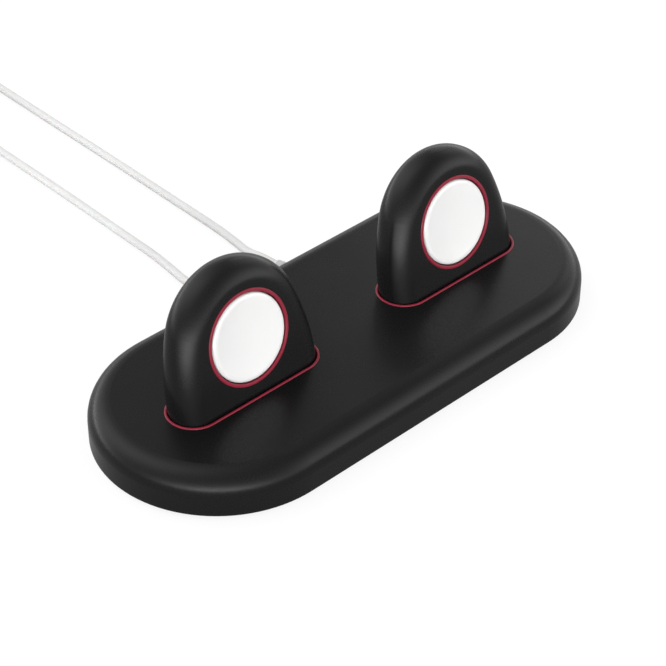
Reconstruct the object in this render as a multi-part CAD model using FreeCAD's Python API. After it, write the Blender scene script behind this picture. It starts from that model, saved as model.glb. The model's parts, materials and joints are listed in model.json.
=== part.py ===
import FreeCAD, Part
import math
import os

# Smartwatch stand: a low stadium-shaped base, two leaning arch posts side by
# side, each with a round magnetic charging puck set in its front face, and a
# white cable from each puck that leaves at the back.
# Millimetres. Origin: middle of the base's underside. +X along the base's long
# axis, +Y to the back, +Z up.

V = FreeCAD.Vector

# ---------------------------------------------------------------- dimensions
BASE_L = 184.4          # stadium length
BASE_W = 80.3           # stadium width
BASE_TOP = 15.07        # height of the top face above the table
SHELL_BOTTOM = 0.8      # the shell floats this far above the table on its pad
TOP_FILLET = 7.2        # large soft edge round the top
BOTTOM_ROUND = 0.9
SIDE_WALL = 2.6
TOP_WALL = 4.0
CAVITY_TOP = BASE_TOP - TOP_WALL
PLATE_Z0, PLATE_Z1 = 1.0, 3.0
PLATE_INSET = 1.5       # from the stadium's outline
PLATE_CLEAR = 0.1
PAD_INSET = 3.5
RIB_T = 1.6
RIB_Z0 = 7.9
BOSS_R = 3.0
BASE_BOSSES = [(84.0, 0.0), (-84.0, 0.0), (52.0, 31.0), (-52.0, 31.0),
               (52.0, -31.0), (-52.0, -31.0), (0.0, 33.0), (0.0, -33.0)]

POST_X = 44.03          # half of the spacing between the two posts
POST_Y = -1.0           # middle plane of the post at the base's top face
POST_LEAN = 12.0        # degrees, backwards
POST_HALF_T = 7.5       # half thickness
POST_HALF_W = 27.2      # half width at the foot
POST_H = 41.5           # height of the arch along its own plane
CROWN_R = 24.0          # radius of the crown arc
POST_BACK_FILLET = 7.5
POST_FRONT_FILLET = 6.9
POST_FIT = 0.25         # clearance of the foot in the shell's opening

FLANGE_X, FLANGE_Y0, FLANGE_Y1 = 36.0, -13.5, 10.0
FLANGE_Z0, FLANGE_Z1 = 8.2, CAVITY_TOP
POST_SCREWS = [(31.0, -9.5), (31.0, 6.0), (-31.0, -9.5), (-31.0, 6.0)]

RING_Y = -1.35          # centre of the red foot ring
RING_IN, RING_OUT = 8.1, 8.95       # half widths of the foot ring
RING_END_IN, RING_END_OUT = 27.55, 28.4   # half lengths
RING_Z0, RING_Z1 = BASE_TOP - 1.2, BASE_TOP + 0.3
REBATE_CLEAR = 0.05

PUCK_V = 17.6           # puck axis above the base top, along the post
PUCK_R = 14.0
PUCK_T = 8.1
PUCK_BORE_R = 14.25
PUCK_BORE_DEPTH = 7.75
SEAT_R_IN, SEAT_R_OUT = 14.3, 15.4
SEAT_DEPTH, SEAT_PROUD = 1.0, 0.25
DISH_R, DISH_DEPTH = 12.3, 1.2      # concave face of the puck

CABLE_D = 2.9
LEAD_W = 2.45           # lead axis in front of the post's middle plane
LEAD_Z = 6.4            # lead height inside the base
OUTLET_X = 13.0
CLAMP_TOP = LEAD_Z - CABLE_D / 2        # top of the clamp bar, under the lead
BUSH_TIP_Y = 46.0       # tip of the tapered bush round the cable

TIE_T, TIE_W = 0.5, 6.0

# Free cables: the points of each route, from the base's back face, inside the
# outlet bush, to the place where the coil begins.
RIGHT_ROUTE = [(13.0, BASE_W / 2, 6.4), (13.0, 51.0, 6.4), (14.2, 62.0, 2.9),
               (16.9, 72.0, 1.5), (17.8, 84.0, 1.5), (18.2, 104.0, 1.5),
               (19.25, 141.0, 1.5), (19.8, 177.0, 1.5), (20.5, 206.0, 1.5),
               (20.9, 226.0, 1.7), (20.9, 240.0, 1.95)]
LEFT_ROUTE = [(-13.0, BASE_W / 2, 6.4), (-13.0, 51.0, 6.4), (-12.0, 62.0, 2.9),
              (-9.7, 72.0, 1.5), (-8.3, 83.5, 1.5), (-7.9, 102.0, 1.5),
              (-6.95, 133.0, 1.5), (-6.5, 162.0, 1.5), (-6.35, 183.0, 1.7),
              (-6.35, 196.0, 1.95)]
# coil: centre x, centre y, radius of the outermost turn, of the innermost turn
RIGHT_COIL = (20.9 - 22.0, 240.0, 22.0, 12.8)
LEFT_COIL = (-6.35 - 21.35, 196.0, 21.35, 10.65)
COIL_Z0, COIL_Z1 = TIE_T, TIE_T + 2 * CABLE_D + 0.1

PLUG_BODY = (19.0, 15.4, 7.0)
PLUG_SHELL = (12.0, 12.0, 4.5)
PLUG_Z = 3.5

os.makedirs("parts", exist_ok=True)
LEAN = math.radians(POST_LEAN)


# ------------------------------------------------------------------- helpers
def save(name, shape):
    if shape.ShapeType == "Compound" and len(shape.Solids) == 1:
        shape = shape.Solids[0]
    ok = shape.isValid() and all(s.isClosed() for s in shape.Solids)
    print("%-24s valid %s  solids %d  volume %.1f" % (name, ok, len(shape.Solids), shape.Volume))
    shape.exportStep("parts/%s.step" % name)


def stadium(length, width, z0, z1, cx=0.0, cy=0.0):
    """A prism with two straight sides and two half-round ends."""
    r = width / 2.0
    h = length / 2.0 - r
    a, b = V(cx - h, cy - r, z0), V(cx + h, cy - r, z0)
    c, d = V(cx + h, cy + r, z0), V(cx - h, cy + r, z0)
    edges = [Part.LineSegment(a, b).toShape(),
             Part.Arc(b, V(cx + h + r, cy, z0), c).toShape(),
             Part.LineSegment(c, d).toShape(),
             Part.Arc(d, V(cx - h - r, cy, z0), a).toShape()]
    return Part.Face(Part.Wire(edges)).extrude(V(0, 0, z1 - z0))


def edges_at(shape, z, tol=1e-4):
    """The edges that lie wholly at one height."""
    out = []
    for e in shape.Edges:
        bb = e.BoundBox
        if abs(bb.ZMin - z) < tol and abs(bb.ZMax - z) < tol:
            out.append(e)
    return out


def cyl(r, z0, z1, x=0.0, y=0.0):
    return Part.makeCylinder(r, z1 - z0, V(x, y, z0))


def box(x0, x1, y0, y1, z0, z1):
    return Part.makeBox(x1 - x0, y1 - y0, z1 - z0, V(x0, y0, z0))


def post_frame(side):
    """Local x is across the post, local y runs up along it, local z is its front normal."""
    s, c = math.sin(LEAN), math.cos(LEAN)
    m = FreeCAD.Matrix(1, 0, 0, side * POST_X,
                       0, s, -c, POST_Y,
                       0, c, s, BASE_TOP,
                       0, 0, 0, 1)
    return m


def shape_moved(shape, m):
    out = shape.copy()
    out.Placement = FreeCAD.Placement(m).multiply(out.Placement)
    return out


def world(m, u, v, w):
    return m.multVec(V(u, v, w))


def path(points, name=None):
    """Straight runs joined by tangent arcs as large as the runs allow."""
    p = [V(*q) for q in points]
    runs = [(p[i + 1] - p[i]).Length for i in range(len(p) - 1)]
    edges, at, radii = [], p[0], []
    for i in range(1, len(p) - 1):
        a = (p[i - 1] - p[i]).normalize()
        b = (p[i + 1] - p[i]).normalize()
        turn = math.pi - a.getAngle(b)
        t = 0.45 * min(runs[i - 1], runs[i])
        r = t / math.tan(turn / 2.0)
        start, end = p[i] + a * t, p[i] + b * t
        bis = (a + b).normalize()
        centre = p[i] + bis * math.hypot(r, t)
        mid = centre - bis * r
        edges.append(Part.LineSegment(at, start).toShape())
        edges.append(Part.Arc(start, mid, end).toShape())
        at = end
        radii.append((round(r, 1), round(math.degrees(turn), 1)))
    edges.append(Part.LineSegment(at, p[-1]).toShape())
    if name:
        print(name, "runs", [round(x, 1) for x in runs], "radius, turn", radii)
    return Part.Wire(edges)


def tube(points, radius, name=None):
    w = path(points, name)
    start = V(*points[0])
    direction = V(*points[1]) - start
    ring = Part.Wire([Part.Circle(start, direction, radius).toShape()])
    solid = w.makePipeShell([ring], True, False)
    if solid.Volume < 0:
        solid.reverse()
    if name:
        print(name, "length %.1f  volume %.1f  section x length %.1f" % (
            w.Length, solid.Volume, math.pi * radius ** 2 * w.Length))
    return solid


# ---------------------------------------------------------------- arch outline
def arch_face(half_w, height, crown, bottom, w0):
    """Three-centred arch on straight legs, in the local x-y plane at local z w0."""
    hc = height - crown
    side_r = (half_w ** 2 + hc ** 2 - crown ** 2) / (2 * half_w - 2 * crown)
    sx = half_w - side_r                        # centre of the right side arc
    ang = math.atan2(hc, -sx)                   # direction from it to the crown centre
    tx, ty = crown * math.cos(ang), hc + crown * math.sin(ang)
    mx, my = sx + side_r * math.cos(ang / 2), side_r * math.sin(ang / 2)
    pts = {
        "br": V(half_w, bottom, w0), "r0": V(half_w, 0, w0), "rm": V(mx, my, w0),
        "rt": V(tx, ty, w0), "top": V(0, height, w0), "lt": V(-tx, ty, w0),
        "lm": V(-mx, my, w0), "l0": V(-half_w, 0, w0), "bl": V(-half_w, bottom, w0)}
    e = [Part.LineSegment(pts["br"], pts["r0"]).toShape(),
         Part.Arc(pts["r0"], pts["rm"], pts["rt"]).toShape(),
         Part.Arc(pts["rt"], pts["top"], pts["lt"]).toShape(),
         Part.Arc(pts["lt"], pts["lm"], pts["l0"]).toShape(),
         Part.LineSegment(pts["l0"], pts["bl"]).toShape(),
         Part.LineSegment(pts["bl"], pts["br"]).toShape()]
    return Part.Face(Part.Wire(e))


def arch_solid(grow=0.0):
    """The post's body in its own frame, with soft edges front and back."""
    bottom = -16.0
    f = arch_face(POST_HALF_W + grow, POST_H + grow, CROWN_R + grow, bottom, -POST_HALF_T - grow)
    s = f.extrude(V(0, 0, 2 * (POST_HALF_T + grow)))

    def rim(z):
        out = []
        for e in edges_at(s, z):
            if e.BoundBox.YMin < bottom + 1e-3 and e.BoundBox.YMax < bottom + 1e-3:
                continue
            out.append(e)
        return out
    back = rim(-POST_HALF_T - grow)
    front = rim(POST_HALF_T + grow)
    s = s.makeFillet(POST_BACK_FILLET + grow * 0.9, back)
    front = []
    for e in s.Edges:
        bb = e.BoundBox
        if abs(bb.ZMin - POST_HALF_T - grow) < 1e-4 and abs(bb.ZMax - POST_HALF_T - grow) < 1e-4 \
                and not (bb.YMin < bottom + 1e-3 and bb.YMax < bottom + 1e-3):
            front.append(e)
    return s.makeFillet(POST_FRONT_FILLET + grow * 0.9, front)


ARCH = arch_solid()
ARCH_CLEAR = arch_solid(POST_FIT)


# ------------------------------------------------------------ lead inside a post
def lead_points(side):
    m = post_frame(side)
    a = world(m, 0, PUCK_V - 12.65, LEAD_W)
    v1 = (LEAD_Z - BASE_TOP - LEAD_W * math.sin(LEAN)) / math.cos(LEAN)
    b = world(m, 0, v1, LEAD_W)
    x = side
    return [(a.x, a.y, a.z), (b.x, b.y, b.z), (x * 30.0, 8.5, LEAD_Z),
            (x * 18.0, 13.5, LEAD_Z), (x * 13.0, 20.5, LEAD_Z), (x * OUTLET_X, 33.0, LEAD_Z),
            (x * OUTLET_X, BASE_W / 2, LEAD_Z)]


def without_line(points):
    """Leave out a middle point that lies in line with its neighbours."""
    out = [points[0]]
    for i in range(1, len(points) - 1):
        a, b, c = V(*out[-1]), V(*points[i]), V(*points[i + 1])
        if (b - a).getAngle(c - b) > 1e-6:
            out.append(points[i])
    return out + [points[-1]]


# --------------------------------------------------------------------- base
shell = stadium(BASE_L, BASE_W, SHELL_BOTTOM, BASE_TOP)
shell = shell.makeFillet(TOP_FILLET, edges_at(shell, BASE_TOP))
shell = shell.makeFillet(BOTTOM_ROUND, edges_at(shell, SHELL_BOTTOM))
cavity = stadium(BASE_L - 2 * SIDE_WALL, BASE_W - 2 * SIDE_WALL, -1.0, CAVITY_TOP)
cavity = cavity.makeFillet(3.0, edges_at(cavity, CAVITY_TOP))
shell = shell.cut(cavity)
seat_in = PLATE_INSET - PLATE_CLEAR
shell = shell.cut(stadium(BASE_L - 2 * seat_in, BASE_W - 2 * seat_in, -1.0, PLATE_Z1))

inner = stadium(BASE_L - 2 * SIDE_WALL + 0.4, BASE_W - 2 * SIDE_WALL + 0.4, RIB_Z0, CAVITY_TOP + 0.5)
ribs = [box(-86, 86, -15.6, -14.0, RIB_Z0, CAVITY_TOP + 0.5),
        box(-86, 86, 10.7, 12.3, RIB_Z0, CAVITY_TOP + 0.5),
        box(-0.8, 0.8, -38, 38, RIB_Z0, CAVITY_TOP + 0.5)]
for x in (27.0, 66.0):
    for s in (-1, 1):
        ribs.append(box(s * x - 0.8, s * x + 0.8, 11.0, 38.0, RIB_Z0, CAVITY_TOP + 0.5))
        ribs.append(box(s * x - 0.8, s * x + 0.8, -38.0, -15.0, 8.6, CAVITY_TOP + 0.5))
ribs = [r.common(inner) for r in ribs]
bosses = [cyl(BOSS_R, PLATE_Z1, CAVITY_TOP + 0.5, x, y) for x, y in BASE_BOSSES]
clamp_posts = [cyl(2.4, CLAMP_TOP, CAVITY_TOP + 0.5, s * OUTLET_X + d, 26.5) for s in (-1, 1) for d in (-5.2, 5.2)]
shell = shell.multiFuse(ribs + bosses + clamp_posts).removeSplitter()

for x, y in BASE_BOSSES:
    shell = shell.cut(cyl(1.03, PLATE_Z1 - 0.5, 9.6, x, y))
for s in (-1, 1):
    m = post_frame(s)
    shell = shell.cut(shape_moved(ARCH_CLEAR, m))
    shell = shell.cut(stadium(2 * (RING_END_OUT + REBATE_CLEAR), 2 * (RING_OUT + REBATE_CLEAR),
                              RING_Z0, BASE_TOP + 1, s * POST_X, RING_Y))
    for x, y in POST_SCREWS:
        shell = shell.cut(cyl(1.23, CAVITY_TOP - 1, 13.9, s * POST_X + x, y))
    for d in (-5.2, 5.2):
        shell = shell.cut(cyl(0.93, 4.0, 9.2, s * OUTLET_X + d, 26.5))
    shell = shell.cut(Part.makeCylinder(2.62, 12, V(s * OUTLET_X, 34.0, LEAD_Z), V(0, 1, 0)))
    # flat land round the outlet's inner mouth, for the bush's inner collar
    shell = shell.cut(Part.makeCylinder(3.2, 4, V(s * OUTLET_X, BASE_W / 2 - SIDE_WALL - 4, LEAD_Z), V(0, 1, 0)))
    groove = tube(without_line(lead_points(s)[1:]), CABLE_D / 2 + 0.35)
    shell = shell.cut(groove)
save("base_shell", shell)

plate = stadium(BASE_L - 2 * PLATE_INSET, BASE_W - 2 * PLATE_INSET, PLATE_Z0, PLATE_Z1)
for x, y in BASE_BOSSES:
    plate = plate.cut(cyl(1.3, 0.5, 3.5, x, y))
    plate = plate.cut(Part.makeCone(2.35, 1.0, 1.35, V(x, y, PLATE_Z0)))
save("base_plate", plate)

screws = []
for x, y in BASE_BOSSES:
    head = Part.makeCone(2.3, 1.0, 1.3, V(x, y, PLATE_Z0 + 0.05))
    shank = cyl(1.0, PLATE_Z0 + 0.6, 9.4, x, y)
    drive = cyl(0.7, PLATE_Z0 - 1, PLATE_Z0 + 0.75, x, y)
    screws.append(head.fuse(shank).cut(drive).removeSplitter())
save("base_screws", Part.makeCompound([s for c in screws for s in c.Solids]))

pad = stadium(BASE_L - 2 * PAD_INSET, BASE_W - 2 * PAD_INSET, 0.0, PLATE_Z0)
pad = pad.makeFillet(0.35, edges_at(pad, 0.0))
save("anti_slip_pad", pad)

for s, side in ((-1, "left"), (1, "right")):
    w = box(min(s * 5, s * 46), max(s * 5, s * 46), -34.5, -16.5, PLATE_Z1, 8.4)
    w = w.makeFillet(2.0, [e for e in w.Edges if abs(e.BoundBox.XLength) < 1e-6 and abs(e.BoundBox.YLength) < 1e-6])
    save(side + "_ballast_plate", w)


# -------------------------------------------------------------------- posts
def foot_tool():
    """Everything below the shell's inside face."""
    return box(-120, 120, -80, 80, -40, CAVITY_TOP)


for s, side in ((-1, "left"), (1, "right")):
    m = post_frame(s)
    cx = s * POST_X
    post = shape_moved(ARCH, m).cut(foot_tool())
    flange = box(cx - FLANGE_X, cx + FLANGE_X, FLANGE_Y0, FLANGE_Y1, FLANGE_Z0, FLANGE_Z1)
    flange = flange.makeFillet(5.0, [e for e in flange.Edges
                                     if abs(e.BoundBox.XLength) < 1e-6 and abs(e.BoundBox.YLength) < 1e-6])
    post = post.fuse(flange).removeSplitter()
    bore = Part.makeCylinder(PUCK_BORE_R, PUCK_BORE_DEPTH + 5, V(0, PUCK_V, POST_HALF_T - PUCK_BORE_DEPTH))
    rebate = Part.makeCylinder(SEAT_R_OUT + 0.05, SEAT_DEPTH + 5, V(0, PUCK_V, POST_HALF_T - SEAT_DEPTH))
    post = post.cut(shape_moved(bore, m)).cut(shape_moved(rebate, m))
    channel = Part.makeCylinder(2.5, 13.0, V(0, PUCK_V - 13.0, LEAD_W), V(0, -1, 0))
    post = post.cut(shape_moved(channel, m))
    lp = lead_points(s)
    post = post.cut(tube(without_line(lp), CABLE_D / 2 + 0.5))
    # slot under the foot, where the lead turns towards the outlet
    d = (V(*lp[2]) - V(*lp[1]))
    d.z = 0
    ang = math.degrees(math.atan2(d.y, d.x))
    slot = box(-3.0, 14.0, -2.6, 2.6, FLANGE_Z0 - 1, 11.9)
    slot.Placement = FreeCAD.Placement(V(lp[1][0], lp[1][1], 0), FreeCAD.Rotation(V(0, 0, 1), ang))
    post = post.cut(slot)
    for x, y in POST_SCREWS:
        post = post.cut(cyl(1.4, FLANGE_Z0 - 1, FLANGE_Z1 + 1, cx + x, y))
    save(side + "_post", post)

    ring = stadium(2 * RING_END_OUT, 2 * RING_OUT, RING_Z0, RING_Z1, cx, RING_Y)
    ring = ring.cut(stadium(2 * RING_END_IN, 2 * RING_IN, RING_Z0 - 1, RING_Z1 + 1, cx, RING_Y))
    ring = ring.makeFillet(0.3, edges_at(ring, RING_Z1))
    save(side + "_foot_ring", ring)

    seat = Part.makeCylinder(SEAT_R_OUT, SEAT_DEPTH + SEAT_PROUD, V(0, PUCK_V, POST_HALF_T - SEAT_DEPTH))
    seat = seat.cut(Part.makeCylinder(SEAT_R_IN, 5, V(0, PUCK_V, POST_HALF_T - SEAT_DEPTH - 1)))
    seat = seat.makeFillet(0.3, edges_at(seat, POST_HALF_T + SEAT_PROUD))
    save(side + "_seat_ring", shape_moved(seat, m))

post_screws = []
for s in (-1, 1):
    for x, y in POST_SCREWS:
        cx = s * POST_X + x
        head = cyl(2.0, FLANGE_Z0 - 1.4, FLANGE_Z0, cx, y)
        head = head.makeFillet(0.5, edges_at(head, FLANGE_Z0 - 1.4))
        shank = cyl(1.2, FLANGE_Z0 - 0.2, 13.8, cx, y)
        drive = cyl(0.7, FLANGE_Z0 - 2, FLANGE_Z0 - 0.6, cx, y)
        post_screws.append(head.fuse(shank).cut(drive).removeSplitter())
save("post_screws", Part.makeCompound([q for c in post_screws for q in c.Solids]))


# -------------------------------------------------------------------- pucks
W0 = POST_HALF_T - PUCK_BORE_DEPTH     # back of the puck on the recess floor


def puck_parts():
    """Charging puck in the post's frame, its axis at local (0, PUCK_V)."""
    o = {}

    def c(r, a, b):
        return Part.makeCylinder(r, b - a, V(0, PUCK_V, W0 + a))

    exit_hole = Part.makeCylinder(CABLE_D / 2 + 0.05, 4, V(0, PUCK_V - 12.0, LEAD_W), V(0, -1, 0))
    back = c(PUCK_R, 0, 5.4)
    back = back.makeFillet(0.8, edges_at(back, W0))
    back = back.cut(c(PUCK_R - 0.6, 0.6, 6)).cut(exit_hole)
    o["puck_back"] = back

    cap = c(PUCK_R, 5.4, PUCK_T)
    cap = cap.makeFillet(1.1, edges_at(cap, W0 + PUCK_T))
    sphere_r = (DISH_R ** 2 + DISH_DEPTH ** 2) / (2 * DISH_DEPTH)
    dish = Part.makeSphere(sphere_r, V(0, PUCK_V, W0 + PUCK_T - DISH_DEPTH + sphere_r))
    cap = cap.cut(dish)
    cap = cap.cut(c(13.0, 5.0, 5.8))
    o["puck_cap"] = cap

    carrier = c(13.35, 0.65, 5.4).cut(c(12.6, 0, 2.9)).cut(c(12.6, 3.5, 6.0)).cut(exit_hole)
    o["puck_carrier"] = carrier
    o["puck_ferrite"] = c(12.2, 3.5, 4.3).cut(c(6.0, 3, 5))
    coil = c(11.4, 4.3, 5.4).cut(c(6.3, 4, 6))
    for r in (7.3, 8.3, 9.3, 10.3):
        coil = coil.cut(c(r + 0.06, 5.2, 6).cut(c(r - 0.06, 5, 7)))
    o["puck_coil"] = coil
    o["puck_magnet"] = c(5.4, 3.5, 5.7)
    board = c(12.5, 2.1, 2.9).cut(c(3.0, 2, 3))
    for x, y, lx, ly in ((5.0, 4.0, 4.0, 4.0), (-8.5, 2.0, 3.0, 2.0), (-6.0, -7.0, 2.0, 3.0)):
        board = board.fuse(Part.makeBox(lx, ly, 0.9, V(x, PUCK_V + y, W0 + 1.2)))
    o["puck_board"] = board.removeSplitter()

    p = PUCK_V - PUCK_R
    sleeve = Part.makeCone(2.3, 1.8, 5.8, V(0, p, LEAD_W), V(0, -1, 0))
    sleeve = sleeve.cut(Part.makeCylinder(CABLE_D / 2 + 0.02, 12, V(0, p + 2, LEAD_W), V(0, -1, 0)))
    sleeve = sleeve.cut(c(PUCK_R + 0.02, -1, 9))
    o["puck_sleeve"] = sleeve
    return o


PUCK = puck_parts()
for s, side in ((-1, "left"), (1, "right")):
    m = post_frame(s)
    for name, shape in PUCK.items():
        save(side + "_" + name, shape_moved(shape, m))

    lead = tube(without_line(lead_points(s)), CABLE_D / 2, side + " inner lead")
    save(side + "_inner_lead", lead)


# ------------------------------------------------- clamps and outlet bushes
clamp_screws = []
for s, side in ((-1, "left"), (1, "right")):
    cx = s * OUTLET_X
    bar = box(cx - 8.0, cx + 8.0, 24.0, 29.0, PLATE_Z1 + 0.05, CLAMP_TOP)
    bar = bar.makeFillet(2.2, [e for e in bar.Edges
                               if abs(e.BoundBox.XLength) < 1e-6 and abs(e.BoundBox.YLength) < 1e-6])
    for d in (-5.2, 5.2):
        bar = bar.cut(cyl(1.1, 2, 6, cx + d, 26.5))
        bar = bar.cut(Part.makeCone(1.8, 0.9, 0.9, V(cx + d, 26.5, PLATE_Z1 + 0.05)))
        head = Part.makeCone(1.75, 0.9, 0.85, V(cx + d, 26.5, PLATE_Z1 + 0.1))
        shank = cyl(0.9, PLATE_Z1 + 0.3, 9.0, cx + d, 26.5)
        clamp_screws.append(head.fuse(shank).removeSplitter())
    save(side + "_cable_clamp", bar)

    y_in, y_out = BASE_W / 2 - SIDE_WALL, BASE_W / 2
    prof = [(CABLE_D / 2 + 0.02, y_in - 1.4), (3.1, y_in - 1.4), (3.1, y_in), (2.6, y_in),
            (2.6, y_out), (3.0, y_out + 0.02), (3.0, y_out + 0.9), (2.85, y_out + 1.2),
            (2.05, BUSH_TIP_Y), (CABLE_D / 2 + 0.02, BUSH_TIP_Y)]
    wire = Part.makePolygon([V(0, y, r) for r, y in prof] + [V(0, prof[0][1], prof[0][0])])
    bush = Part.Face(wire).revolve(V(0, 0, 0), V(0, 1, 0), 360)
    if bush.Volume < 0:
        bush.reverse()
    bush.translate(V(cx, 0, LEAD_Z))
    save(side + "_outlet_bush", bush)
save("clamp_screws", Part.makeCompound([q for c in clamp_screws for q in c.Solids]))


# -------------------------------------------------------------- free cables
def tie(cx, cy, r_out, r_in, angle):
    """A flat band once round the bundle of turns, on a radial plane."""
    a, b = r_in - 2.1, r_out + 1.65
    outer = box(a - TIE_T, b + TIE_T, -TIE_W / 2, TIE_W / 2, 0.0, COIL_Z1 + 0.05 + TIE_T)
    outer = outer.makeFillet(0.45, [e for e in outer.Edges
                                    if abs(e.BoundBox.XLength) < 1e-6 and abs(e.BoundBox.ZLength) < 1e-6])
    hole = box(a, b, -TIE_W, TIE_W, TIE_T, COIL_Z1 + 0.05)
    band = outer.cut(hole)
    band.Placement = FreeCAD.Placement(V(cx, cy, 0), FreeCAD.Rotation(V(0, 0, 1), angle))
    return band


for side, route, coil in (("left", LEFT_ROUTE, LEFT_COIL), ("right", RIGHT_ROUTE, RIGHT_COIL)):
    cx, cy, r_out, r_in = coil
    keep_out = cyl(r_out + CABLE_D / 2 + 0.1, -2, 12, cx, cy)
    run = tube(route, CABLE_D / 2, side + " cable").cut(keep_out)
    run = max(run.Solids, key=lambda q: q.Volume)
    save(side + "_cable", run)

    bundle = cyl(r_out + CABLE_D / 2 + 0.1, COIL_Z0, COIL_Z1, cx, cy).cut(
        cyl(r_in - CABLE_D / 2 - 0.1, COIL_Z0 - 1, COIL_Z1 + 1, cx, cy))
    save(side + "_cable_coil", bundle)

    y = cy + r_out
    tail = tube([(cx - 2, y, 4.9), (cx - 9, y, 4.9), (cx - 14.5, y, PLUG_Z), (cx - 20, y, PLUG_Z)],
                CABLE_D / 2, side + " cable end").cut(keep_out)
    tail = max(tail.Solids, key=lambda q: q.Volume)
    save(side + "_cable_end", tail)

    save(side + "_cable_tie", tie(cx, cy, r_out, r_in, 200.0))

    x0 = cx - 20
    relief = Part.makeCone(1.9, 2.9, 9.0, V(x0, y, PLUG_Z), V(-1, 0, 0))
    body = box(x0 - 9.0 - PLUG_BODY[0], x0 - 9.0, y - PLUG_BODY[1] / 2, y + PLUG_BODY[1] / 2, 0, PLUG_BODY[2])
    body = body.makeFillet(2.6, [e for e in body.Edges
                                 if abs(e.BoundBox.YLength) < 1e-6 and abs(e.BoundBox.ZLength) < 1e-6])
    body = body.makeFillet(1.0, [e for e in body.Edges if abs(e.BoundBox.XMin - (x0 - 9.0)) < 1e-4
                                 and abs(e.BoundBox.XLength) < 1e-4])
    body = body.fuse(relief).removeSplitter()
    xs = x0 - 9.0 - PLUG_BODY[0]
    pocket = box(xs - 1, xs + 6.0, y - PLUG_SHELL[1] / 2, y + PLUG_SHELL[1] / 2,
                 PLUG_Z - PLUG_SHELL[2] / 2, PLUG_Z + PLUG_SHELL[2] / 2)
    save(side + "_plug_body", body.cut(pocket))

    t = 0.3
    metal = box(xs - PLUG_SHELL[0], xs + 6.0, y - PLUG_SHELL[1] / 2, y + PLUG_SHELL[1] / 2,
                PLUG_Z - PLUG_SHELL[2] / 2, PLUG_Z + PLUG_SHELL[2] / 2)
    metal = metal.makeFillet(0.4, [e for e in metal.Edges
                                   if abs(e.BoundBox.YLength) < 1e-6 and abs(e.BoundBox.ZLength) < 1e-6])
    metal = metal.cut(box(xs - PLUG_SHELL[0] - 1, xs + 5.7, y - PLUG_SHELL[1] / 2 + t, y + PLUG_SHELL[1] / 2 - t,
                          PLUG_Z - PLUG_SHELL[2] / 2 + t, PLUG_Z + PLUG_SHELL[2] / 2 - t))
    for dy in (-3.2, 3.2):
        metal = metal.cut(box(xs - 7.4, xs - 5.2, y + dy - 1.2, y + dy + 1.2, -1, 10))
    save(side + "_plug_shell", metal)

    block = box(xs - 1.5, xs + 5.7, y - 5.7, y + 5.7, PLUG_Z - 1.95, PLUG_Z + 1.95)
    blade = box(xs - PLUG_SHELL[0] + 0.6, xs, y - 5.6, y + 5.6, PLUG_Z - 1.95, PLUG_Z - 0.1)
    tongue = block.fuse(blade).removeSplitter()
    contacts = []
    for k, dy in enumerate((-3.5, -1.2, 1.2, 3.5)):
        x_tip = xs - PLUG_SHELL[0] + (1.2 if k in (0, 3) else 2.2)
        strip = box(x_tip, xs - 1.5, y + dy - 0.5, y + dy + 0.5, PLUG_Z - 0.25, PLUG_Z + 0.05)
        tongue = tongue.cut(strip)
        contacts.append(strip)
    save(side + "_plug_tongue", tongue)
    save(side + "_plug_contacts", Part.makeCompound(contacts))
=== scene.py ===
import json
import math

import bmesh
import bpy
from mathutils import Matrix, Vector


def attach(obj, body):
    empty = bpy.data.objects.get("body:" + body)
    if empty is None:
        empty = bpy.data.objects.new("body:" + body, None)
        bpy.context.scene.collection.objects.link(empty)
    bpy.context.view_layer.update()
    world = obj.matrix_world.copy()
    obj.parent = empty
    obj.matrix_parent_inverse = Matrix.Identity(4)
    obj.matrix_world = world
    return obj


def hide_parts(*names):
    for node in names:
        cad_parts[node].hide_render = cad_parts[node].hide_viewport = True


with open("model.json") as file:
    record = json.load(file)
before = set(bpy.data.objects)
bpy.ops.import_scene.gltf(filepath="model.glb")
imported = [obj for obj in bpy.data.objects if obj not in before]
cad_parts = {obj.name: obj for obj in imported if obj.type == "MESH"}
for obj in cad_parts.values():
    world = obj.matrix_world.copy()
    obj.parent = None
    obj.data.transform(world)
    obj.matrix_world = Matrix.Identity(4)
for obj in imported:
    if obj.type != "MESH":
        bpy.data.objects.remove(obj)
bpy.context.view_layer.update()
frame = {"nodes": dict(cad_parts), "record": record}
NODES = frame["nodes"]
SCENE = bpy.context.scene
COLL = SCENE.collection
SIDES = (("left", -1.0), ("right", 1.0))


# ------------------------------------------------------------------- camera
def make_camera():
    az, el, roll = math.radians(-43.837), math.radians(37.066), math.radians(0.112)
    target, dist = Vector((0.0065, 0.012266, 0.0)), 0.682274
    back = Vector((math.sin(az) * math.cos(el), -math.cos(az) * math.cos(el), math.sin(el)))
    right = (-back).cross(Vector((0, 0, 1))).normalized()
    up = right.cross(-back)
    r2 = right * math.cos(roll) + up * math.sin(roll)
    u2 = -right * math.sin(roll) + up * math.cos(roll)
    cam = bpy.data.objects.new("camera", bpy.data.cameras.new("camera"))
    COLL.objects.link(cam)
    m = Matrix((r2, u2, back)).transposed().to_4x4()
    m.translation = target + back * dist
    cam.matrix_world = m
    cam.data.sensor_fit = "HORIZONTAL"
    cam.data.sensor_width = 36.0
    cam.data.lens = 114.375
    cam.data.clip_start, cam.data.clip_end = 0.01, 20.0
    SCENE.camera = cam


make_camera()


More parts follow.
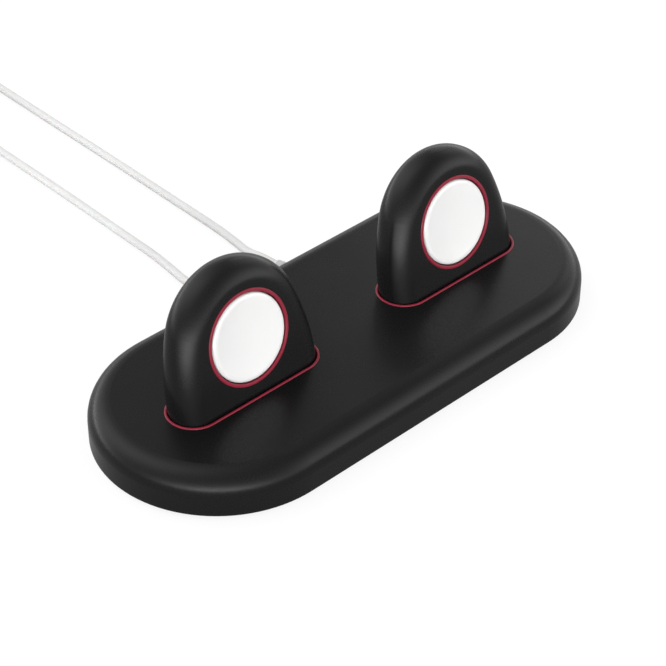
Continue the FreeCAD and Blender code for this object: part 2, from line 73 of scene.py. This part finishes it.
# ---------------------------------------------------------------- materials
class Mat:
    """A small helper round one node material."""

    def __init__(self, name):
        self.m = bpy.data.materials.new(name)
        self.m.use_nodes = True
        self.t = self.m.node_tree
        self.b = next(n for n in self.t.nodes if n.type == "BSDF_PRINCIPLED")
        self.xyz = self.node("ShaderNodeTexCoord").outputs["Object"]

    def node(self, kind, **values):
        n = self.t.nodes.new(kind)
        for k, v in values.items():
            if k in n.inputs:
                n.inputs[k].default_value = v
            else:
                setattr(n, k, v)
        return n

    def link(self, a, b):
        self.t.links.new(a, b)

    def set(self, **values):
        for k, v in values.items():
            self.b.inputs[k.replace("_", " ")].default_value = v

    def noise(self, scale, detail=3.0, rough=0.5, at=None):
        n = self.node("ShaderNodeTexNoise", Scale=scale, Detail=detail, Roughness=rough)
        self.link(at or self.xyz, n.inputs["Vector"])
        return n.outputs["Fac"]

    def voronoi(self, scale, feature="F1", at=None):
        n = self.node("ShaderNodeTexVoronoi", Scale=scale)
        n.feature = feature
        self.link(at or self.xyz, n.inputs["Vector"])
        return n.outputs["Distance"]

    def ramp(self, fac, stops):
        n = self.node("ShaderNodeValToRGB")
        e = n.color_ramp.elements
        while len(e) < len(stops):
            e.new(0.5)
        for i, (pos, col) in enumerate(stops):
            e[i].position = pos
            e[i].color = (*col, 1.0)
        self.link(fac, n.inputs["Fac"])
        return n.outputs["Color"]

    def span(self, fac, lo, hi, a=0.3, b=0.7):
        n = self.node("ShaderNodeMapRange")
        for k, v in (("From Min", a), ("From Max", b), ("To Min", lo), ("To Max", hi)):
            n.inputs[k].default_value = v
        self.link(fac, n.inputs["Value"])
        return n.outputs["Result"]

    def math(self, op, a, b):
        n = self.node("ShaderNodeMath", operation=op)
        for i, v in enumerate((a, b)):
            if isinstance(v, (int, float)):
                n.inputs[i].default_value = v
            else:
                self.link(v, n.inputs[i])
        return n.outputs[0]

    def color(self, out):
        self.link(out, self.b.inputs["Base Color"])

    def rough(self, out):
        self.link(out, self.b.inputs["Roughness"])

    def bump(self, height, distance, strength=1.0, after=None):
        n = self.node("ShaderNodeBump")
        n.inputs["Strength"].default_value = strength
        n.inputs["Distance"].default_value = distance
        self.link(height, n.inputs["Height"])
        if after is not None:
            self.link(after, n.inputs["Normal"])
        self.link(n.outputs["Normal"], self.b.inputs["Normal"])
        return n.outputs["Normal"]


def satin_black(name, low, high, rough=0.27, spec=0.16, grain=2600.0, depth=0.00001):
    k = Mat(name)
    k.set(Specular_IOR_Level=spec)
    cloud = k.noise(28.0, 4.0, 0.55)
    k.color(k.ramp(cloud, [(0.3, low), (0.7, high)]))
    fine = k.noise(grain, 2.0, 0.6)
    soft = k.span(k.noise(60.0, 3.0, 0.5), rough - 0.02, rough + 0.02)
    k.rough(k.math("ADD", soft, k.span(fine, -0.015, 0.015)))
    pits = k.voronoi(grain * 0.55, "SMOOTH_F1")
    k.bump(k.math("ADD", fine, k.math("MULTIPLY", pits, 0.5)), depth, 0.2)
    return k.m


def plain_plastic(name, low, high, rough=0.35, spec=0.5, scale=40.0, coat=0.0, sss=0.0, depth=0.00001):
    k = Mat(name)
    k.set(Specular_IOR_Level=spec)
    if coat:
        k.set(Coat_Weight=coat, Coat_Roughness=0.12)
    if sss:
        k.set(Subsurface_Weight=sss, Subsurface_Scale=0.002)
    k.color(k.ramp(k.noise(scale, 4.0, 0.55), [(0.3, low), (0.7, high)]))
    fine = k.noise(1800.0, 2.0, 0.5)
    k.rough(k.span(k.noise(90.0, 3.0, 0.5), rough - 0.05, rough + 0.05))
    k.bump(fine, depth, 0.3)
    return k.m


def puck_plastic(name, low, high):
    """Smooth white plastic. Over the dished face the normals are those of the dish's own sphere."""
    k = Mat(name)
    k.set(Specular_IOR_Level=0.5, Coat_Weight=0.3, Coat_Roughness=0.12)
    k.color(k.ramp(k.noise(40.0, 4.0, 0.55), [(0.3, low), (0.7, high)]))
    k.rough(k.span(k.noise(90.0, 3.0, 0.5), 0.15, 0.25))
    c, s = math.cos(math.radians(12)), math.sin(math.radians(12))

    def at(w):
        return (-1.0 + 17.6 * s - w * c) / 1000, (15.07 + 17.6 * c + w * s) / 1000

    part = k.node("ShaderNodeSeparateXYZ")
    k.link(k.xyz, part.inputs[0])
    x = k.math("SUBTRACT", k.math("ABSOLUTE", part.outputs["X"], 0.0), 0.04403)
    joined = k.node("ShaderNodeCombineXYZ")
    k.link(k.math("MULTIPLY", x, k.math("SIGN", part.outputs["X"], 0.0)), joined.inputs["X"])
    k.link(part.outputs["Y"], joined.inputs["Y"])
    k.link(part.outputs["Z"], joined.inputs["Z"])

    def vec(op, a, b=None, swap=False):
        n = k.node("ShaderNodeVectorMath", operation=op)
        k.link(a, n.inputs[1 if swap else 0])
        if isinstance(b, tuple):
            n.inputs[0 if swap else 1].default_value = b
        elif b is not None:
            k.link(b, n.inputs[1])
        return n.outputs["Value" if op == "LENGTH" else "Vector"]

    middle = (0.0,) + at(6.65 + 63.64)
    dish = vec("NORMALIZE", vec("SUBTRACT", joined.outputs[0], middle, swap=True))
    away = vec("LENGTH", vec("SUBTRACT", joined.outputs[0], (0.0,) + at(6.65)))
    mask = k.span(away, 1.0, 0.0, 0.0085, 0.0105)
    mesh = k.node("ShaderNodeNewGeometry").outputs["Normal"]
    mix = k.node("ShaderNodeMix", data_type="VECTOR")
    k.link(mask, mix.inputs[0])
    k.link(mesh, mix.inputs[4])
    k.link(dish, mix.inputs[5])
    out = k.bump(k.noise(1800.0, 2.0, 0.5), 0.000005, 0.2, after=vec("NORMALIZE", mix.outputs[1]))
    k.link(out, k.b.inputs["Coat Normal"])
    return k.m


def metal(name, low, high, rough=0.3, stretch=(1.0, 1.0, 1.0), scale=900.0):
    k = Mat(name)
    k.set(Metallic=1.0)
    mp = k.node("ShaderNodeMapping")
    mp.inputs["Scale"].default_value = stretch
    k.link(k.xyz, mp.inputs["Vector"])
    lines = k.noise(scale, 3.0, 0.6, at=mp.outputs["Vector"])
    k.color(k.ramp(k.noise(120.0, 3.0, 0.5), [(0.3, low), (0.7, high)]))
    k.rough(k.span(lines, rough - 0.08, rough + 0.1))
    k.bump(lines, 0.000006, 0.3)
    return k.m


M = {
    "shell_black": satin_black("shell_black", (0.0046, 0.0046, 0.0047), (0.0058, 0.0058, 0.0060)),
    "post_black": satin_black("post_black", (0.0046, 0.0046, 0.0047), (0.0058, 0.0058, 0.0060)),
    "plate_black": satin_black("plate_black", (0.011, 0.011, 0.0115), (0.016, 0.016, 0.0165), rough=0.5, spec=0.25, grain=1500.0, depth=0.00002),
    "pad_rubber": satin_black("pad_rubber", (0.020, 0.020, 0.021), (0.028, 0.028, 0.029), rough=0.78, spec=0.25, grain=900.0, depth=0.00006),
    "trim_red": plain_plastic("trim_red", (0.165, 0.009, 0.022), (0.205, 0.013, 0.030), rough=0.36, spec=0.25),
    "screw_steel": metal("screw_steel", (0.32, 0.32, 0.33), (0.42, 0.42, 0.43), 0.35),
    "ballast_steel": metal("ballast_steel", (0.36, 0.37, 0.38), (0.47, 0.47, 0.48), 0.42, (1.0, 12.0, 1.0), 300.0),
    "puck_white": puck_plastic("puck_white", (0.61, 0.61, 0.606), (0.64, 0.64, 0.636)),
    "carrier_grey": plain_plastic("carrier_grey", (0.44, 0.44, 0.43), (0.50, 0.50, 0.49), rough=0.5),
    "ferrite_grey": plain_plastic("ferrite_grey", (0.045, 0.045, 0.047), (0.065, 0.064, 0.062), rough=0.55),
    "coil_copper": metal("coil_copper", (0.62, 0.26, 0.13), (0.78, 0.36, 0.20), 0.28),
    "magnet_nickel": metal("magnet_nickel", (0.55, 0.54, 0.52), (0.63, 0.62, 0.60), 0.18),
    "board_green": plain_plastic("board_green", (0.012, 0.10, 0.035), (0.020, 0.14, 0.055), rough=0.35, scale=300.0),
    "cable_white": plain_plastic("cable_white", (0.565, 0.565, 0.562), (0.605, 0.605, 0.602), rough=0.50, spec=0.25, scale=90.0, sss=0.05, depth=0.000003),
    "bush_white": plain_plastic("bush_white", (0.56, 0.56, 0.556), (0.60, 0.60, 0.596), rough=0.5, spec=0.4, scale=120.0),
    "tie_white": plain_plastic("tie_white", (0.53, 0.53, 0.526), (0.59, 0.59, 0.585), rough=0.6, spec=0.3, scale=400.0, depth=0.00004),
    "plug_white": plain_plastic("plug_white", (0.59, 0.59, 0.586), (0.63, 0.63, 0.626), rough=0.28, coat=0.2),
    "plug_steel": metal("plug_steel", (0.52, 0.52, 0.52), (0.62, 0.62, 0.61), 0.24, (14.0, 1.0, 1.0), 500.0),
    "tongue_white": plain_plastic("tongue_white", (0.66, 0.66, 0.65), (0.72, 0.72, 0.71), rough=0.5),
    "contact_gold": metal("contact_gold", (0.74, 0.50, 0.19), (0.84, 0.60, 0.27), 0.22),
}


def paint(obj, slot):
    obj.data.materials.clear()
    obj.data.materials.append(M[slot])


# --------------------------------------------------------------- free cables
CABLE_D = 0.0029
ROUTES = {
    "right": [(13.0, 40.15, 6.4), (13.0, 51.0, 6.4), (14.2, 62.0, 2.9), (16.9, 72.0, 1.5), (17.8, 84.0, 1.5),
              (18.2, 104.0, 1.5), (19.25, 141.0, 1.5), (19.8, 177.0, 1.5), (20.5, 206.0, 1.5),
              (20.9, 226.0, 1.7), (20.9, 240.0, 1.95)],
    "left": [(-13.0, 40.15, 6.4), (-13.0, 51.0, 6.4), (-12.0, 62.0, 2.9), (-9.7, 72.0, 1.5), (-8.3, 83.5, 1.5),
             (-7.9, 102.0, 1.5), (-6.95, 133.0, 1.5), (-6.5, 162.0, 1.5), (-6.35, 183.0, 1.7),
             (-6.35, 196.0, 1.95)],
}
# coil: centre x, centre y, outermost and innermost radius, turns on each of two layers
COILS = {"right": (-1.1, 240.0, 22.0, 12.8, 3.125), "left": (-27.7, 196.0, 21.35, 10.65, 3.625)}
STEPS = 16              # control points to a turn


def coil_points(cx, cy, r_out, r_in, turns):
    """Two layers of turns: inwards on the table, up a step, then outwards on top."""
    out, total = [], 2 * turns
    count = int(round(total * STEPS))
    for i in range(count):
        t = (i + 0.5) / STEPS
        r = r_out - (r_out - r_in) * t / turns if t < turns else r_in + (r_out - r_in) * (t - turns) / turns
        rise = min(1.0, max(0.0, (t - turns + 0.16) / 0.32))
        rise = rise * rise * (3 - 2 * rise)
        a = 2 * math.pi * t
        big = r / math.cos(math.pi / STEPS)
        out.append((cx + big * math.cos(a), cy + big * math.sin(a), 1.95 + 2.9 * rise))
    return out


def nurbs(name, points, depth):
    cu = bpy.data.curves.new(name, "CURVE")
    cu.dimensions = "3D"
    sp = cu.splines.new("NURBS")
    sp.points.add(len(points) - 1)
    for p, q in zip(sp.points, points):
        p.co = (q[0] / 1000, q[1] / 1000, q[2] / 1000, 1.0)
    sp.order_u = 3
    sp.use_endpoint_u = True
    sp.resolution_u = 10
    cu.bevel_depth = depth
    cu.bevel_resolution = 5
    cu.use_fill_caps = True
    o = bpy.data.objects.new(name, cu)
    COLL.objects.link(o)
    return o


def lathe(name, profile, place, steps=64):
    """A solid of revolution round the Y axis through place; profile is a list of (y, radius) in mm."""
    verts, faces, m = [], [], len(profile)
    for i in range(steps):
        a = 2 * math.pi * i / steps
        for y, r in profile:
            verts.append(((place[0] + r * math.cos(a)) / 1000, y / 1000, (place[2] + r * math.sin(a)) / 1000))
    for i in range(steps):
        p, q = i * m, ((i + 1) % steps) * m
        for j in range(m):
            k = (j + 1) % m
            faces.append((p + j, q + j, q + k, p + k))
    me = bpy.data.meshes.new(name)
    me.from_pydata(verts, [], faces)
    for f in me.polygons:
        f.use_smooth = True
    bm = bmesh.new()
    bm.from_mesh(me)
    bmesh.ops.recalc_face_normals(bm, faces=bm.faces)
    bm.to_mesh(me)
    bm.free()
    o = bpy.data.objects.new(name, me)
    COLL.objects.link(o)
    return o


def relief_profile():
    """Bore, collar inside the wall, waist, collar outside, then soft ribs down to the tip."""
    bore, y_in, y_out, tip = 1.47, 37.55, 40.15, 46.0
    out = [(y_in - 1.4, bore), (y_in - 1.4, 2.95), (y_in - 1.25, 3.1), (y_in, 3.1), (y_in, 2.6), (y_out, 2.6),
           (y_out + 0.02, 2.9), (y_out + 0.10, 3.0), (y_out + 0.85, 3.0), (y_out + 1.0, 2.93), (y_out + 1.2, 2.72)]
    ribs, first, last = 5, y_out + 1.25, tip - 0.35
    pitch = (last - first) / ribs
    for i in range(ribs):
        y0 = first + i * pitch
        r = 2.74 - (2.74 - 2.06) * (i + 0.5) / ribs
        low = r - 0.42 if i < ribs - 1 else r - 0.35
        out += [(y0 + 0.02, low), (y0 + 0.26, low), (y0 + 0.31, r - 0.09), (y0 + 0.38, r), (y0 + pitch - 0.10, r - 0.02),
                (y0 + pitch - 0.03, r - 0.11)]
    out += [(tip - 0.30, 2.0), (tip - 0.12, 1.97), (tip, 1.85), (tip, bore)]
    return out


CORDS = {}
for side, s in SIDES:
    relief = lathe(side + "_strain_relief", relief_profile(), (s * 13.0, 0.0, 6.4))
    bevel = relief.modifiers.new("edges", "BEVEL")
    bevel.width, bevel.segments, bevel.limit_method, bevel.angle_limit = 0.00004, 2, "ANGLE", math.radians(50)
    paint(relief, "bush_white")
    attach(relief, "root")
    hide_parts(side + "_outlet_bush")
    cx, cy, r_out, r_in, turns = COILS[side]
    y = cy + r_out
    tail = [(cx - 2, y, 4.9), (cx - 9, y, 4.9), (cx - 14.5, y, 3.5), (cx - 20, y, 3.5), (cx - 22, y, 3.5)]
    flex = nurbs(side + "_flex", ROUTES[side] + coil_points(cx, cy, r_out, r_in, turns) + tail, CABLE_D / 2)
    paint(flex, "cable_white")
    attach(flex, "root")
    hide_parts(side + "_cable", side + "_cable_coil", side + "_cable_end")
    CORDS[side] = flex

# ----------------------------------------------------------- CAD node finish
SLOT = {e["node"]: e["material_slot"] for e in frame["record"]["subparts"]}


for n, o in NODES.items():
    paint(o, SLOT[n])


# ------------------------------------------------------------ floor and light
def plane(name, size, z):
    me = bpy.data.meshes.new(name)
    h = size / 2
    me.from_pydata([(-h, -h, z), (h, -h, z), (h, h, z), (-h, h, z)], [], [(0, 1, 2, 3)])
    o = bpy.data.objects.new(name, me)
    COLL.objects.link(o)
    return o


floor = plane("floor", 8.0, -0.0002)
k = Mat("floor_white")
k.set(Specular_IOR_Level=0.05, Roughness=0.95)
k.b.inputs["Emission Color"].default_value = (1.0, 1.0, 1.0, 1.0)
k.color(k.ramp(k.noise(3.0, 2.0, 0.5), [(0.3, (0.125, 0.125, 0.1255)), (0.7, (0.135, 0.135, 0.1355))]))
# the floor is seen as clean white, but throws only part of that light back at the object
SEEN, THROWN = 0.86, 0.35
seen = k.node("ShaderNodeLightPath").outputs["Is Camera Ray"]
k.link(k.math("ADD", k.math("MULTIPLY", seen, SEEN - THROWN), THROWN), k.b.inputs["Emission Strength"])
floor.data.materials.append(k.m)

# The studio is a dark room with a few large soft panels: azimuth and elevation in degrees, how much
# flatter than round the panel is, how tight its edge is, and how bright it is.
PANELS = (
    (126.0, 60.0, 1.0, 8.0, 2.0),       # high, at the back on the left
    (105.0, 25.0, 1.0, 8.0, 1.5),       # lower, at the back
    (105.0, 2.0, 5.0, 8.0, 4.2),        # strip along the floor, at the back
    (224.0, 2.0, 4.0, 5.0, 12.0),       # wide and low, at the front on the left
    (315.0, 8.0, 1.0, 8.0, 3.2),        # front, on the right
    (24.0, 3.0, 3.0, 8.0, 2.4),         # low, at the right end
    (11.0, 33.0, 1.0, 24.0, 1.25),      # small, above the one at the right end
)
FILL = 0.22                             # faint light from the rest of the room


def studio_world():
    world = bpy.data.worlds.new("studio")
    world.use_nodes = True
    t = world.node_tree
    bg = next(n for n in t.nodes if n.type == "BACKGROUND")
    way = t.nodes.new("ShaderNodeTexCoord").outputs["Generated"]

    def vec(op, a, b=None):
        n = t.nodes.new("ShaderNodeVectorMath")
        n.operation = op
        t.links.new(a, n.inputs[0])
        if b is not None:
            n.inputs[1].default_value = b
        return n.outputs["Value" if op == "DOT_PRODUCT" else "Vector"]

    def num(op, a, *rest):
        n = t.nodes.new("ShaderNodeMath")
        n.operation = op
        for i, v in enumerate((a,) + rest):
            if isinstance(v, float):
                n.inputs[i].default_value = v
            else:
                t.links.new(v, n.inputs[i])
        return n.outputs[0]

    total = FILL
    for az, el, flat, tight, bright in PANELS:
        az, el = math.radians(az), math.radians(el)
        aim = Vector((math.cos(az) * math.cos(el), math.sin(az) * math.cos(el), math.sin(el) * flat)).normalized()
        d = vec("DOT_PRODUCT", vec("NORMALIZE", vec("MULTIPLY", way, (1.0, 1.0, flat))), tuple(aim))
        lobe = num("EXPONENT", num("MULTIPLY_ADD", d, tight, -tight))
        total = num("MULTIPLY_ADD", lobe, bright, total)
    t.links.new(total, bg.inputs["Strength"])
    bg.inputs["Color"].default_value = (1.0, 1.0, 1.0, 1.0)
    return world


def area(name, place, aim, size, power):
    li = bpy.data.lights.new(name, "AREA")
    li.shape = "RECTANGLE"
    li.size, li.size_y = size
    li.energy = power
    o = bpy.data.objects.new(name, li)
    COLL.objects.link(o)
    o.location = place
    o.rotation_mode = "QUATERNION"
    o.rotation_quaternion = (Vector(aim) - Vector(place)).to_track_quat("-Z", "Y")
    return o


area("right_back", (0.74, 0.53, 0.55), (0.08, 0.0, 0.0), (0.28, 0.28), 0.24)
SCENE.world = studio_world()
SCENE.view_settings.view_transform = "Standard"
SCENE.view_settings.look = "None"
SCENE.view_settings.exposure = 0.0
SCENE.view_settings.gamma = 1.0
